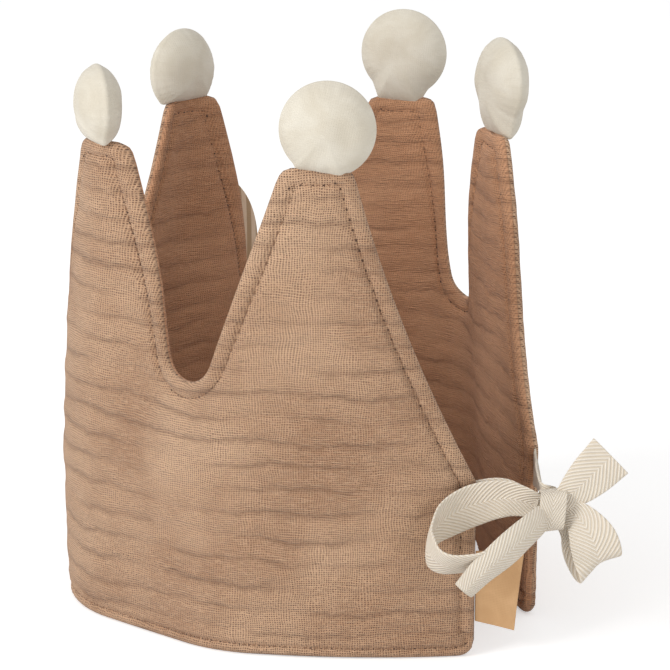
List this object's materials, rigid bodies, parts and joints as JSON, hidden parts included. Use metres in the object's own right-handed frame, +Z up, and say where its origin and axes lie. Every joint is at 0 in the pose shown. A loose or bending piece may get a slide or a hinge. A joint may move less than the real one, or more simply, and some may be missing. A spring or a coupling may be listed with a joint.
{
  "type": "fabric crown",
  "caption": "Padded cloth play crown with pointed tips, a stuffed disc on each tip, a badge at the back and a bow of twill tape that closes the band round a child's head.",
  "frame": {"origin": "middle of the crown's footprint at the base rim", "axes": "+Z up from the base rim towards the tips; +X to the right and +Y away from the viewer when the tie is at the front right"},
  "size_m": [0.1788, 0.182, 0.185],
  "materials": {
    "outer_gauze": "matt crinkled double gauze",
    "lining_gauze": "matt crinkled double gauze",
    "wadding_fleece": "matt fleece",
    "ivory_cotton": "matt plain-weave cotton",
    "twill_tape": "matt herringbone twill",
    "label_ribbon": "matt close-woven ribbon",
    "brown_cotton": "matt plain-weave cotton",
    "striped_cotton": "matt cotton with narrow woven stripes"
  },
  "bodies": {
    "root": {"outer_panel": "outer_gauze", "lining_panel": "lining_gauze", "wadding": "wadding_fleece", "pompom_1": "ivory_cotton", "pompom_2": "ivory_cotton", "pompom_3": "ivory_cotton", "pompom_4": "ivory_cotton", "pompom_5": "ivory_cotton", "front_tie": "twill_tape", "rear_tie": "twill_tape", "label": "label_ribbon", "badge_backing": "brown_cotton", "badge_pad": "striped_cotton"}
  },
  "joints": []
}
